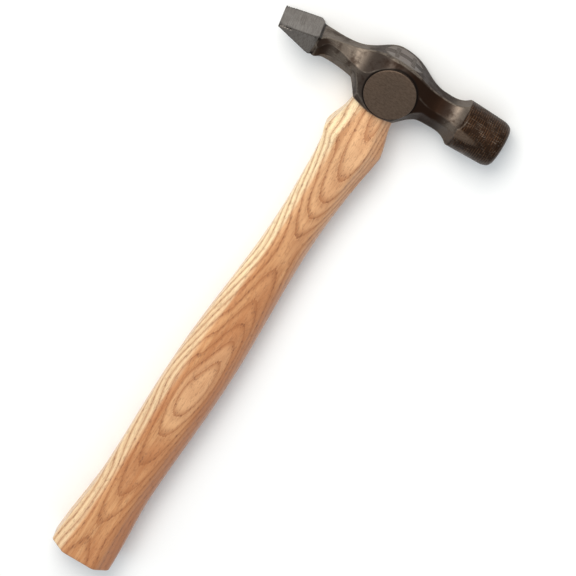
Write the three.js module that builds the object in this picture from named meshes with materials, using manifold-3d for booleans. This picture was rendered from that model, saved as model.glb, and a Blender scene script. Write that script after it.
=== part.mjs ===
// Cross peen hammer of the Warrington pattern: a forged steel head wedged onto an ash handle.
// Millimetres. The hammer lies on one cheek: +X runs from the peen to the striking face,
// +Y out of the top of the eye (the handle runs to -Y) and +Z straight up out of the other cheek.
// The origin is the middle of the lower cheek boss, straight below the middle of the eye.
import * as THREE from 'three';
import { mergeVertices } from 'three/addons/utils/BufferGeometryUtils.js';
import Module from 'manifold-3d';

const wasm = await Module();
wasm.setup();

// ---- Driving dimensions ----

const cheekThickness = 20.8;    // over the two round bosses, the greatest thickness of the head
const peenReach = 51.3;         // middle of the eye to the edge of the peen
const faceReach = 50.3;         // middle of the eye to the striking face
const handleReach = 259.2;      // middle of the eye to the end of the butt

const peenLength = 16.3;        // edge to the back of the wedge
const peenWidth = 20;
const peenEdge = 1.0;           // thickness of the blunt edge
const peenRoot = 8.7;           // thickness at the back of the wedge
const peenShoulder = 4.6;       // length of the slope from the wedge down to its neck

const peenNeckWidth = 10.8;     // across the side flats
const peenNeckHeight = 9.4;     // across the top and bottom flats
const peenNeckCorner = 11;      // across the corner flats

const bossProud = 0.7;          // how far each boss stands out of the flats beside it
const crownHeight = 12.5;       // middle of the eye to the top of the head
const baseHeight = 12.8;        // middle of the eye to the underside the handle meets
const eyeWallFront = 1.6;       // steel beyond the eye's mouth at that underside, towards the peen
const eyeWallBack = 0.8;        // and towards the poll
const blockSlope = 6.3;         // that underside's end to where the peen neck flares out to it
const eyeCorner = 26.4;         // across the corner flats of the eye block
const bossRadius = 10.6;
const bossShift = 0.7;          // middle of the eye to the middle of the bosses, towards the face
const bossDrop = 0.9;           // and towards the handle

const pollNeckReach = 20;       // middle of the eye to the thinnest place of the poll neck
const pollNeckSize = 14.2;      // across its side, top and bottom flats
const pollNeckCorner = 13.4;    // across its corner flats
const pollStart = 31;           // middle of the eye to the back of the turned poll
const pollRadius = 10.35;       // at its back
const pollTaper = 0.6;          // how much smaller the radius is at the front
const pollChamfer = 3.4;        // length of the bevel round the striking face
const faceRadius = 7.2;

const eyeLength = 15.2;         // along X at the waist of the eye
const eyeWidth = 10.4;          // along Z at the waist
const eyeMouth = 1.0;           // how much longer and wider the eye is at the handle's side
const eyeShift = -1;            // its middle along X: the handle sits a little towards the peen
const eyeFlare = 1.9;           // how much longer and wider it is at the top, for the wedges
const eyeSquareness = 2.3;
const fitGap = 0.3;             // clearance between pieces that touch on the real hammer

const woodWedgeThickness = 3.4; // at the top
const woodWedgeTip = 0.8;
const woodWedgeDepth = 17;      // below the top of the head
const wedgeWall = 1;            // wood left between a steel wedge's ends and the waist of the eye
const steelWedgeThickness = 1.9;
const steelWedgeTip = 0.7;
const steelWedgeDepth = 9.5;
const steelWedgeSpacing = 7.6;  // between the two, along X

const buttWidth = 27.6;         // widths are along X and thicknesses along Z
const buttThickness = 20.4;
const buttChamfer = 1.8;
const buttFlare = 10.2;         // butt end to where its flare begins
const gripDipPlace = 42.2;      // butt end to the slimmest place behind the swell
const gripDipWidth = 23;
const gripDipThickness = 18.4;
const swellPlace = 94.2;        // butt end to the fullest place of the grip
const swellLength = 23;         // how much further it stays nearly as wide
const swellWidth = 25;
const swellThickness = 19.8;
const waistPlace = 78;          // middle of the eye to the waist
const waistWidth = 18.7;
const waistThickness = 15.2;
const shoulderPlace = 30;       // middle of the eye to the crest of the shoulder
const shoulderWidth = 26;
const shoulderThickness = 18.2;
const shoulderShift = 0.65;     // how far the shoulder is set over towards the peen
const seatLedge = 0.8;          // how far the wood stands out past the eye's mouth, all round
const gripSquareness = 2.6;     // of the handle: 2 is an ellipse, more is squarer

const cornerTilt = THREE.MathUtils.degToRad(36);  // corner flats, up from the cheek's own direction
const midPlane = cheekThickness / 2;
const eyeBlockWidth = cheekThickness - 2 * bossProud;
const baseFront = (eyeLength + eyeMouth) / 2 - eyeShift + eyeWallFront;
const baseBack = (eyeLength + eyeMouth) / 2 + eyeShift + eyeWallBack;
const neckFlare = baseFront + blockSlope;
const steelWedgeLength = eyeWidth - 2 * wedgeWall;
const outside = 30;             // safely past every surface of the head

// ---- Curves ----

// A knot is [place, size, slope] or, at a corner, [place, size, slope before, slope after].
// Between two knots the size follows a cubic with those slopes.
function sizeAt(knots, place) {
  let next = 1;
  while (next < knots.length - 1 && place > knots[next][0]) next += 1;
  const [x0, y0, slope0, cornerSlope] = knots[next - 1];
  const [x1, y1, slope1] = knots[next];
  const span = x1 - x0;
  const t = (place - x0) / span;
  const rise0 = (cornerSlope ?? slope0) * span;
  const rise1 = slope1 * span;
  const mix = t * t * (3 - 2 * t);
  return y0 + (y1 - y0) * mix + t * (1 - t) * ((1 - t) * rise0 - t * rise1);
}

// Every knot's place, with each span divided into the same number of steps.
function placesAlong(knots, steps) {
  const places = [knots[0][0]];
  for (let i = 1; i < knots.length; i += 1) {
    for (let step = 1; step <= steps; step += 1) {
      places.push(THREE.MathUtils.lerp(knots[i - 1][0], knots[i][0], step / steps));
    }
  }
  return places;
}

// ---- Solids ----

function toSolid(geometry) {
  const bare = geometry.clone();
  bare.deleteAttribute('normal');
  bare.deleteAttribute('uv');
  const welded = mergeVertices(bare, 1e-4);
  return new wasm.Manifold(new wasm.Mesh({
    numProp: 3,
    vertProperties: new Float32Array(welded.attributes.position.array),
    triVerts: new Uint32Array(welded.index.array),
  }));
}

function toGeometry(solid) {
  const mesh = solid.getMesh();
  const geometry = new THREE.BufferGeometry();
  geometry.setAttribute('position', new THREE.BufferAttribute(new Float32Array(mesh.vertProperties), 3));
  geometry.setIndex(new THREE.BufferAttribute(new Uint32Array(mesh.triVerts), 1));
  geometry.computeVertexNormals();
  return geometry;
}

// A bar with the outline of two size curves, one each side of the X axis, turned about that axis.
function profileBar(upper, lower, turn) {
  const steps = 6;
  const shape = new THREE.Shape();
  const over = placesAlong(upper, steps).map((x) => [x, sizeAt(upper, x)]);
  const under = placesAlong(lower, steps).map((x) => [x, -sizeAt(lower, x)]).reverse();
  [...over, ...under].forEach(([x, y], i) => (i ? shape.lineTo(x, y) : shape.moveTo(x, y)));
  const bar = new THREE.ExtrudeGeometry(shape, { depth: 2 * outside, bevelEnabled: false });
  bar.translate(0, 0, -outside);
  bar.rotateX(turn);
  return toSolid(bar);
}

// A solid along Y whose section at each place is a rounded rectangle. section(y) gives its half-length
// along X, its half-width along Z and its middle along X.
function tapered(places, section, squareness, sides) {
  const steps = places.length - 1;
  const geometry = new THREE.CylinderGeometry(1, 1, 1, sides, steps);
  const points = geometry.attributes.position;
  const power = 2 / squareness;
  const tidy = (part) => Math.round(part * 1e6) / 1e6;
  const bend = (part) => Math.sign(part) * Math.abs(part) ** power;
  for (let i = 0; i < points.count; i += 1) {
    const y = places[Math.round((points.getY(i) + 0.5) * steps)];
    const [halfX, halfZ, middle] = section(y);
    const cosine = tidy(points.getX(i));
    const sine = tidy(points.getZ(i));
    points.setXYZ(i, middle + halfX * bend(cosine), y, halfZ * bend(sine));
  }
  return toSolid(geometry);
}

// ---- Head ----

const peenBack = -peenReach + peenLength;
const neckStart = peenBack + peenShoulder;
const neckNarrow = THREE.MathUtils.lerp(neckStart, -neckFlare, 0.37);
const flareEnd = pollStart + 3;
const scallop = 1.2;            // how much further the corner flats run into the poll
const flareSlope = 1.1;
const pollFlare = [pollStart, pollRadius + 0.1, flareSlope];
const cornerFlare = [pollStart + scallop, pollRadius + 0.1, flareSlope];
const pastPoll = [[flareEnd, pollRadius + 3.4, flareSlope], [faceReach + 1, pollRadius + 3.4, 0]];
const peenSlope = (peenRoot - peenEdge) / 2 / peenLength;

// Half-heights above and below the axis, from the peen to the face
const topLine = [
  [-peenReach, peenEdge / 2, peenSlope],
  [peenBack, peenRoot / 2, peenSlope, 0.06],
  [neckStart, peenNeckHeight / 2, 0.1],
  [-neckFlare - 2.2, peenNeckHeight / 2 + 1.7, 0.3],
  [-baseFront + 0.6, crownHeight - 1.8, 0.5],
  [-2, crownHeight, 0],
  [baseBack + 1.6, crownHeight - 2.5, -0.45],
  [pollNeckReach, pollNeckSize / 2, 0],
  pollFlare,
  ...pastPoll,
];
const bottomLine = [
  [-peenReach, peenEdge / 2, peenSlope],
  [peenBack, peenRoot / 2, peenSlope, 0.06],
  [neckStart, peenNeckHeight / 2, 0.06],
  [-neckFlare + 1.4, peenNeckHeight / 2 + 1.3, 0.15, 0.9],
  [-baseFront, baseHeight - 1.2, 1.3, 0.2],
  [(baseBack - baseFront) / 2, baseHeight, 0],
  [baseBack, baseHeight - 0.8, -0.2, -0.75],
  [pollNeckReach - 3.5, pollNeckSize / 2 + 0.1, -0.1],
  [pollNeckReach, pollNeckSize / 2, 0],
  pollFlare,
  ...pastPoll,
];

// Half-width, the same towards both cheeks
const cheekLine = [
  [-peenReach, peenWidth / 2, 0],
  [peenBack, peenWidth / 2, 0, -0.35],
  [peenBack + 1.7, peenWidth / 2 - 0.9, -0.8, -1.3],
  [neckStart, peenNeckWidth / 2 + 0.7, -0.5],
  [neckNarrow, peenNeckWidth / 2, 0],
  [-neckFlare, peenNeckWidth / 2 + 1.4, 0.28, 0.5],
  [-baseFront + 1.2, eyeBlockWidth / 2, 0.05],
  [baseBack - 0.9, eyeBlockWidth / 2, -0.05],
  [pollNeckReach, pollNeckSize / 2, 0],
  pollFlare,
  ...pastPoll,
];

// Half-distance across the corner flats, above and below the axis
const topCornerLine = [
  [-peenReach, 12, 0],
  [peenBack, 11.2, -0.1, -1.7],
  [neckStart + 0.6, peenNeckCorner / 2 + 0.8, -0.2],
  [-neckFlare - 3.5, peenNeckCorner / 2 + 0.1, 0],
  [-baseFront + 0.6, eyeCorner / 2 - 3.4, 0.8],
  [-3, eyeCorner / 2, 0],
  [baseBack - 3, eyeCorner / 2 - 0.8, -0.3],
  [baseBack + 4.7, eyeCorner / 2 - 4.2, -0.55],
  [pollNeckReach, pollNeckCorner / 2, 0],
  cornerFlare,
  ...pastPoll,
];
const bottomCornerLine = [
  [-peenReach, 12, 0],
  [peenBack, 11.4, -0.1, -0.4],
  [peenBack + 1.9, 10.2, -0.9, -1.6],
  [neckStart + 0.9, peenNeckCorner / 2 + 0.5, -0.3],
  [-neckFlare - 3.5, peenNeckCorner / 2 + 0.2, 0.05],
  [-neckFlare + 1, peenNeckCorner / 2 + 0.8, 0.15, 0.9],
  [-baseFront, eyeCorner / 2 - 1, 1.1, 0.35],
  [(baseBack - baseFront) / 2, eyeCorner / 2 + 1.6, 0],
  [baseBack, eyeCorner / 2 + 0.1, -0.4, -0.95],
  [pollNeckReach - 3.5, pollNeckCorner / 2 + 0.2, -0.1],
  [pollNeckReach, pollNeckCorner / 2, 0],
  cornerFlare,
  ...pastPoll,
];

// The turned poll: a lathe profile along X that leaves the rest of the head alone.
function turnedEnvelope() {
  const profile = [
    [0, -outside * 2],
    [outside, -outside * 2],
    [outside, pollNeckReach],
    [pollRadius, pollNeckReach],
    [pollRadius, pollStart],
    [pollRadius - pollTaper, faceReach - pollChamfer],
    [(pollRadius - pollTaper + faceRadius) / 2 + 0.45, faceReach - pollChamfer * 0.3],
    [faceRadius, faceReach],
    [0, faceReach],
  ].map(([radius, x]) => new THREE.Vector2(radius, x));
  const lathe = new THREE.LatheGeometry(profile, 64);
  lathe.rotateZ(-Math.PI / 2);
  lathe.rotateX(Math.PI / 64);
  return toSolid(lathe);
}

function cheekBosses() {
  const disc = new THREE.CylinderGeometry(bossRadius, bossRadius, cheekThickness, 72);
  disc.rotateX(Math.PI / 2);
  disc.translate(bossShift, -bossDrop, 0);
  return toSolid(disc);
}

// The forging before the eye is punched, centred on the middle of the eye.
function headBlank() {
  const bars = [
    profileBar(topLine, bottomLine, 0),
    profileBar(cheekLine, cheekLine, Math.PI / 2),
    profileBar(topCornerLine, bottomCornerLine, Math.PI / 2 - cornerTilt),
    profileBar(topCornerLine, bottomCornerLine, cornerTilt - Math.PI / 2),
    turnedEnvelope(),
  ];
  const body = bars.reduce((solid, bar) => solid.intersect(bar));
  return body.add(cheekBosses());
}

// The oval eye, narrowest near its middle. Grown by a negative margin it is the tenon that fills it.
function eyeFilling(margin, from, to) {
  const mouth = eyeMouth / 2;
  const flare = eyeFlare / 2;
  const extra = [[-baseHeight, mouth, -0.06], [-2, 0, 0], [crownHeight, flare, 0.12]];
  const places = [from, ...placesAlong(extra, 5).filter((y) => y > from && y < to), to];
  const section = (y) => {
    const more = sizeAt(extra, THREE.MathUtils.clamp(y, -baseHeight, crownHeight)) + margin;
    return [eyeLength / 2 + more, eyeWidth / 2 + more, eyeShift];
  };
  return tapered(places, section, eyeSquareness, 40);
}

function makeHead(blank) {
  return blank.subtract(eyeFilling(0, -outside, outside));
}

// ---- Handle ----

const neckTop = -baseHeight + 1.7;  // the wood runs up past the underside and is scribed to it

const buttEnd = -handleReach;
const seatHalfWidth = (eyeLength + eyeMouth) / 2 + seatLedge;
const seatHalfThickness = (eyeWidth + eyeMouth) / 2 + seatLedge;

// Half-width across the handle as it is seen from a cheek, and half-thickness towards the cheeks
const widthLine = [
  [buttEnd, buttWidth / 2, -0.03],
  [buttEnd + buttFlare, buttWidth / 2 - 0.4, -0.05],
  [buttEnd + gripDipPlace, gripDipWidth / 2, 0],
  [buttEnd + swellPlace, swellWidth / 2, 0],
  [buttEnd + swellPlace + swellLength, swellWidth / 2 - 0.3, -0.04],
  [-waistPlace, waistWidth / 2, 0],
  [-shoulderPlace - 17, shoulderWidth / 2 - 2.4, 0.06],
  [-shoulderPlace - 6, shoulderWidth / 2 - 1.2, 0.12],
  [-shoulderPlace, shoulderWidth / 2, 0.18, -0.12],
  [-shoulderPlace + 7, shoulderWidth / 2 - 1.9, -0.33],
  [neckTop - 4.4, seatHalfWidth + 0.55, -0.12],
  [neckTop, seatHalfWidth, -0.1],
];
const thicknessLine = [
  [buttEnd, buttThickness / 2, 0],
  [buttEnd + buttFlare, buttThickness / 2 - 0.1, -0.015],
  [buttEnd + gripDipPlace, gripDipThickness / 2, 0],
  [buttEnd + swellPlace, swellThickness / 2, 0],
  [-waistPlace, waistThickness / 2, 0],
  [-shoulderPlace - 17, shoulderThickness / 2 - 0.8, 0.03],
  [-shoulderPlace, shoulderThickness / 2, 0.02],
  [-shoulderPlace + 7, shoulderThickness / 2 - 1.1, -0.22],
  [neckTop - 4.4, seatHalfThickness + 0.2, -0.1],
  [neckTop, seatHalfThickness, -0.05],
];

// Middle of the handle along X: straight, then set over to the eye
const middleLine = [
  [buttEnd, 0, 0],
  [-shoulderPlace - 6.5, 0, 0],
  [-shoulderPlace, -shoulderShift, -0.05],
  [-shoulderPlace + 7, -shoulderShift, 0],
  [neckTop, eyeShift, 0],
];

function handleShaft() {
  const buttTop = buttEnd + buttChamfer;
  const places = [buttEnd, buttTop, ...placesAlong(widthLine, 6).filter((y) => y > buttTop)];
  const section = (y) => {
    const trim = Math.max(buttTop - y, 0);
    return [sizeAt(widthLine, y) - trim, sizeAt(thicknessLine, y) - trim, sizeAt(middleLine, y)];
  };
  return tapered(places, section, gripSquareness, 36);
}

// A straight-sided wedge standing in the eye, thick end up, grown by the margin on every side.
function wedgeBar(thickness, tip, length, depth, margin) {
  const top = crownHeight + 2;
  const slope = (thickness - tip) / 2 / depth;
  const bottom = crownHeight - depth;
  const shape = new THREE.Shape();
  const halfTop = thickness / 2 + slope * 2 + margin;
  const halfTip = tip / 2 + margin;
  shape.moveTo(-halfTip, bottom - margin);
  shape.lineTo(halfTip, bottom - margin);
  shape.lineTo(halfTop, top);
  shape.lineTo(-halfTop, top);
  const bar = new THREE.ExtrudeGeometry(shape, { depth: length + 2 * margin, bevelEnabled: false });
  bar.translate(0, 0, -length / 2 - margin);
  return bar;
}

// The wooden wedge lies along the eye, across the whole tenon.
function woodWedgeBar(margin) {
  const bar = wedgeBar(woodWedgeThickness, woodWedgeTip, 2 * outside, woodWedgeDepth, margin);
  bar.rotateY(Math.PI / 2);
  return toSolid(bar);
}

// The two steel wedges stand across it.
function steelWedgeBar(side, margin) {
  const bar = wedgeBar(steelWedgeThickness, steelWedgeTip, steelWedgeLength, steelWedgeDepth, margin);
  bar.translate(eyeShift + side * steelWedgeSpacing / 2, 0, 0);
  return toSolid(bar);
}

function bothSteelWedges(margin) {
  return steelWedgeBar(-1, margin).add(steelWedgeBar(1, margin));
}

// Everything in the eye is dressed off level with the crown, a hair below the steel.
function dressedTop(blank) {
  return blank.translate(0, -fitGap, 0);
}

function makeHandle(blank) {
  const shaft = handleShaft().subtract(dressedTop(blank));
  const tenon = eyeFilling(-fitGap, neckTop - 6, outside).intersect(dressedTop(blank).add(underHead()));
  return shaft.add(tenon).subtract(woodWedgeBar(fitGap)).subtract(bothSteelWedges(fitGap));
}

// Room below the head for the foot of the tenon to run into the shaft.
function underHead() {
  const block = new THREE.BoxGeometry(2 * outside, outside, 2 * outside);
  block.translate(0, -outside / 2, 0);
  return toSolid(block);
}

function makeWoodWedge(blank) {
  const kerf = woodWedgeBar(0).intersect(eyeFilling(-fitGap, -outside, outside));
  return kerf.intersect(dressedTop(blank)).subtract(bothSteelWedges(fitGap));
}

function makeSteelWedge(blank, side) {
  return steelWedgeBar(side, 0).intersect(dressedTop(blank));
}

// ---- Finishes and assembly ----

const finishes = {
  forgedSteel: new THREE.MeshStandardMaterial({ color: 0x4a4540, metalness: 0.8, roughness: 0.5 }),
  wedgeSteel: new THREE.MeshStandardMaterial({ color: 0x5a5856, metalness: 0.9, roughness: 0.45 }),
  ash: new THREE.MeshStandardMaterial({ color: 0xc98f55, metalness: 0, roughness: 0.55 }),
  hardwood: new THREE.MeshStandardMaterial({ color: 0x5c4632, metalness: 0, roughness: 0.7 }),
};

const hammer = new THREE.Group();
hammer.position.z = midPlane;

function addPiece(name, solid, finish) {
  const piece = new THREE.Mesh(toGeometry(solid), finish);
  piece.name = name;
  hammer.add(piece);
}

const blank = headBlank();
addPiece('hammer_head', makeHead(blank), finishes.forgedSteel);
addPiece('handle', makeHandle(blank), finishes.ash);
addPiece('wood_wedge', makeWoodWedge(blank), finishes.hardwood);
addPiece('steel_wedge_front', makeSteelWedge(blank, 1), finishes.wedgeSteel);
addPiece('steel_wedge_back', makeSteelWedge(blank, -1), finishes.wedgeSteel);

const part = new THREE.Group();
part.add(hammer);
export default part;
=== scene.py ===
import math
import bpy
import numpy as np
from mathutils import Matrix, Vector, noise


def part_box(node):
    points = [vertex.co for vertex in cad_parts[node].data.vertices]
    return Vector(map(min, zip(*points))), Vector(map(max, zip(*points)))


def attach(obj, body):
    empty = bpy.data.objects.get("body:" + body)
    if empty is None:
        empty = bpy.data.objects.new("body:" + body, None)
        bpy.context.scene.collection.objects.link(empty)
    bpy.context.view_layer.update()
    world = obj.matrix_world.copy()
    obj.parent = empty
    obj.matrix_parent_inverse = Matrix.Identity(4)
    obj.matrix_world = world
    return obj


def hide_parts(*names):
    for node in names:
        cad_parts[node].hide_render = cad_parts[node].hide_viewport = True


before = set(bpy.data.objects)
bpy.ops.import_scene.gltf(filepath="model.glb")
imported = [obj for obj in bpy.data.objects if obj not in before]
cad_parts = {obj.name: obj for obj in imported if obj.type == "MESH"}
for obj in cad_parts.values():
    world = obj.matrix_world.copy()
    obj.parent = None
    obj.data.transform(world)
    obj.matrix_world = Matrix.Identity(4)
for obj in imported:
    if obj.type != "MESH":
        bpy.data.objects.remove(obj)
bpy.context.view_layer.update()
print("frame loaded:", ", ".join(sorted(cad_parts)))

# Shapes are worked out in millimetres about the middle plane of the hammer, then set in place.
mm = 0.001
headLow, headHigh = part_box("hammer_head")
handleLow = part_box("handle")[0]
midZ = (headLow.z + headHigh.z) / 2
cheek = (headHigh.z - headLow.z) / 2 / mm
faceX, peenX = headHigh.x / mm, headLow.x / mm
buttY = handleLow.y / mm
crownY = headHigh.y / mm


# A knot is (place, size, slope), or (place, size, slope before, slope after) at a corner.
def sizeAlong(knots, places):
    places = np.clip(np.asarray(places, float), knots[0][0], knots[-1][0])
    sizes = np.zeros(places.shape)
    for here, there in zip(knots, knots[1:]):
        span = there[0] - here[0]
        inside = (places >= here[0] - 1e-9) & (places <= there[0] + 1e-9)
        t = (places[inside] - here[0]) / span
        ease = t * t * (3 - 2 * t)
        bend = t * (1 - t) * ((1 - t) * here[-1] * span - t * there[2] * span)
        sizes[inside] = here[1] + (there[1] - here[1]) * ease + bend
    return sizes


def softMin(a, b, blend):
    near = np.clip(blend - np.abs(a - b), 0, None) / blend
    return np.minimum(a, b) - near * near * blend / 4


def bell(distance, width):
    return np.exp(-(distance / width) ** 2)


def lumps(points, size, seed=0.0):
    offset = Vector((seed, 1.7 * seed, 0.3))
    return np.array([noise.noise(Vector(p) / size + offset) for p in points])


# Rings of points, each the same count, skinned and closed on a point at both ends.
def skin(name, rings):
    rings = np.asarray(rings, float)
    count, sides = rings.shape[:2]
    points = np.concatenate([rings.reshape(-1, 3), [rings[0].mean(0), rings[-1].mean(0)]])
    faces = []
    for i in range(count - 1):
        for j in range(sides):
            k = (j + 1) % sides
            faces.append((i * sides + j, i * sides + k, (i + 1) * sides + k, (i + 1) * sides + j))
    first, last = count * sides, count * sides + 1
    for j in range(sides):
        k = (j + 1) % sides
        faces.append((first, k, j))
        faces.append((last, (count - 1) * sides + j, (count - 1) * sides + k))
    points = points * mm + np.array([0, 0, midZ])
    mesh = bpy.data.meshes.new(name)
    mesh.from_pydata(points.tolist(), [], faces)
    corners = points[np.array(faces[: (count - 1) * sides])]
    flow = np.cross(corners[:, 1] - corners[:, 0], corners[:, 3] - corners[:, 0])
    outward = corners.mean(1) - points.mean(0)
    if (flow * outward).sum() < 0:  # the rings ran the other way
        mesh.flip_normals()
    mesh.validate()
    piece = bpy.data.objects.new(name, mesh)
    bpy.context.scene.collection.objects.link(piece)
    return piece


def workOn(piece, tool, operation):
    step = piece.modifiers.new(operation, "BOOLEAN")
    step.operation, step.object, step.solver = operation, tool, "MANIFOLD"
    result = piece.evaluated_get(bpy.context.evaluated_depsgraph_get())
    made = bpy.data.meshes.new_from_object(result)
    piece.modifiers.clear()
    if len(made.polygons) < 12:
        raise RuntimeError(f"{operation} of {piece.name} with {tool.name} came out empty")
    piece.data = made


def smooth(piece, angle):
    piece.data.polygons.foreach_set("use_smooth", [True] * len(piece.data.polygons))
    piece.data.set_sharp_from_angle(angle=math.radians(angle))


def placesOf(piece):
    places = np.zeros(len(piece.data.vertices) * 3)
    piece.data.vertices.foreach_get("co", places)
    return (places.reshape(-1, 3) - np.array([0, 0, midZ])) / mm


def keepValue(piece, name, values):
    store = piece.data.attributes.new(name, "FLOAT", "POINT")
    store.data.foreach_set("value", np.asarray(values, np.float32))


# How far each point stands out of its neighbours: over 0 on ridges, under 0 in grooves.
def ridgeOf(piece):
    mesh, places = piece.data, placesOf(piece)
    edges = np.zeros(len(mesh.edges) * 2, int)
    mesh.edges.foreach_get("vertices", edges)
    edges = edges.reshape(-1, 2)
    normals = np.zeros(len(mesh.vertices) * 3)
    mesh.vertices.foreach_get("normal", normals)
    total, count = np.zeros((len(places), 3)), np.zeros(len(places))
    for a, b in (edges.T, edges.T[::-1]):
        step = places[b] - places[a]
        np.add.at(total, a, step / (np.linalg.norm(step, axis=1)[:, None] + 1e-6))
        np.add.at(count, a, 1)
    ridge = -(total * normals.reshape(-1, 3)).sum(1) / np.maximum(count, 1)
    for _ in range(2):  # spread it a little
        spread = ridge.copy()
        np.add.at(spread, edges[:, 0], ridge[edges[:, 1]])
        np.add.at(spread, edges[:, 1], ridge[edges[:, 0]])
        ridge = spread / (count + 1)
    return ridge


peenSlope = 3.85 / 16.3  # rise of the wedge over its length
flare = [(31, 10.45, 1.1), (34, 13.75, 1.1), (51, 13.75, 0)]
cornerFlare = [(32.2, 10.45, 1.1), (34, 13.75, 1.1), (51, 13.75, 0)]
forgedHead = {
    "topLine": [
        (peenX, 0.5, peenSlope), (-36.9, 3.9, peenSlope, 0.1), (-35.2, 4.08, 0.06, -1.3),
        (-34.5, 3.4, 0.45), (-30.4, 4.65, 0.12), (-19.2, 6.4, 0.3), (-10.1, crownY - 1.8, 0.5),
        (-2, crownY, 0), (9.5, crownY - 2.5, -0.45), (20, 7.1, 0), *flare],
    "bottomLine": [
        (peenX, 0.5, peenSlope), (-36.9, 3.9, peenSlope, 0.1), (-35.2, 4.08, 0.06, -0.8),
        (-34.5, 3.7, 0.3), (-30.4, 4.7, 0.06), (-15.6, 6, 0.15, 0.9), (-10.7, 11.6, 1.3, 0.2),
        (-1.4, 12.8, 0), (7.9, 12, -0.2, -0.75), (16.5, 7.2, -0.1), (20, 7.1, 0), *flare],
    "cheekLine": [
        (peenX, 10, 0), (-37, 10, 0), (-35.2, 9.7, -0.4, -0.25), (-33.3, 9.1, -0.8, -1.3),
        (-30.4, 6.1, -0.5), (-25.4, 5.4, 0), (-17, 6.8, 0.28, 0.5), (-9.5, 9.7, 0.05),
        (7, 9.7, -0.05), (20, 7.1, 0), *flare],
    "topCornerLine": [
        (peenX, 12, 0), (-36.7, 10.7, -0.1, -1.5), (-29.8, 6.3, -0.2), (-20.5, 5.6, 0),
        (-10.1, 9.8, 0.8), (-3, 13.2, 0), (4.9, 12.4, -0.3), (12.6, 9, -0.55),
        (20, 6.7, 0), *cornerFlare],
    "bottomCornerLine": [
        (peenX, 12, 0), (-35, 11.4, -0.1, -0.4), (-33.1, 10.2, -0.9, -1.6), (-29.5, 6, -0.3),
        (-20.5, 5.7, 0.05), (-16, 6.3, 0.15, 0.9), (-10.7, 12.2, 1.1, 0.35), (-1.4, 14.8, 0),
        (7.9, 13.3, -0.4, -0.95), (16.5, 6.9, -0.1), (20, 6.7, 0), *cornerFlare],
    "cornerTilt": math.radians(36),
    "pollLine": [
        (20, 10.35, 0), (31, 10.35, -0.02), (46.7, 9.8, -0.05, -0.25), (49.0, 8.95, -0.6),
        (49.9, 7.9, -1.7), (faceX - 0.15, 7.2, -3)],
    "edgeSoftness": [
        (peenX, 0.2, 0), (-37, 0.22, 0), (-34, 0.2, 0), (-14, 0.22, 0), (0, 0.4, 0), (22, 0.3, 0),
        (51, 0.3, 0)],
    "turnedFrom": 20,           # the poll's turned outline starts here
    "notTurned": 60,            # a radius well clear of the head, before that
    "turnedSoftness": 0.4,
    "sides": 232,
    "cheekCrowding": 0.18,      # draws the points of a ring together towards the cheeks
    "step": 0.32,
    "pollStep": 0.17,
    "pollStart": 30.4,          # rings are closer together from here to the face
    "endInset": 0.15,           # from the ends to the first and last full ring
    "grooveStart": (31, 1.2),   # where the turning begins, and over what length
    "grooveEnd": (1.6, 1.5),    # the same from the face
    "grooveDepth": 0.07,
    "groovePitch": 0.95,
    "forgingUnevenness": 0.07,
    "lumpSizes": (7.0, 2.6),
    "smallLumps": 0.45,
    "unevenPlaces": (-37, -33, 28, 32),
    "unevenShares": (0.25, 1, 1, 0.3),
    "nicks": [(-50.6, 0.062), (-49.7, 0.072), (-48.8, 0.086), (-47.7, 0.1), (-46.4, 0.118)],
    "nickDepth": 0.7,
    "nickWidth": (0.28, 0.035),  # along the head, and around it
    # share of the peen's edge, set back, inset from the cheeks
    "edgeCap": [(0.0, 0, 2.5), (0.3, 0, 0.5), (0.7, 0.03, 0.15)],
    "faceCap": [0.93, 0.82, 0.66, 0.48, 0.3, 0.14],
    "bossRadius": 10.6,
    "bossMiddle": (0.7, -0.9),
    "bossEdge": 0.35,
    "bossSides": 144,
}


def aroundHead(shape, places, turns):
    x = places[:, None] + 0 * turns[None, :]
    up, out = np.sin(turns)[None, :], np.abs(np.cos(turns))[None, :]
    tilt = shape["cornerTilt"]

    def size(line):
        return sizeAlong(shape[line], places)[:, None]

    soft = sizeAlong(shape["edgeSoftness"], places)[:, None]
    level = np.where(up > 0, size("topLine"), size("bottomLine")) / np.maximum(np.abs(up), 1e-3)
    radius = softMin(size("cheekLine") / np.maximum(out, 1e-3), level, soft)
    for line, side in (("topCornerLine", 1), ("bottomCornerLine", -1)):
        reach = np.maximum(out * math.cos(tilt) + side * up * math.sin(tilt), 1e-2)
        radius = softMin(radius, size(line) / reach, soft)
    turned = np.where(x >= shape["turnedFrom"], size("pollLine"), shape["notTurned"])
    return softMin(radius, turned, np.full_like(soft, shape["turnedSoftness"]))


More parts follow.
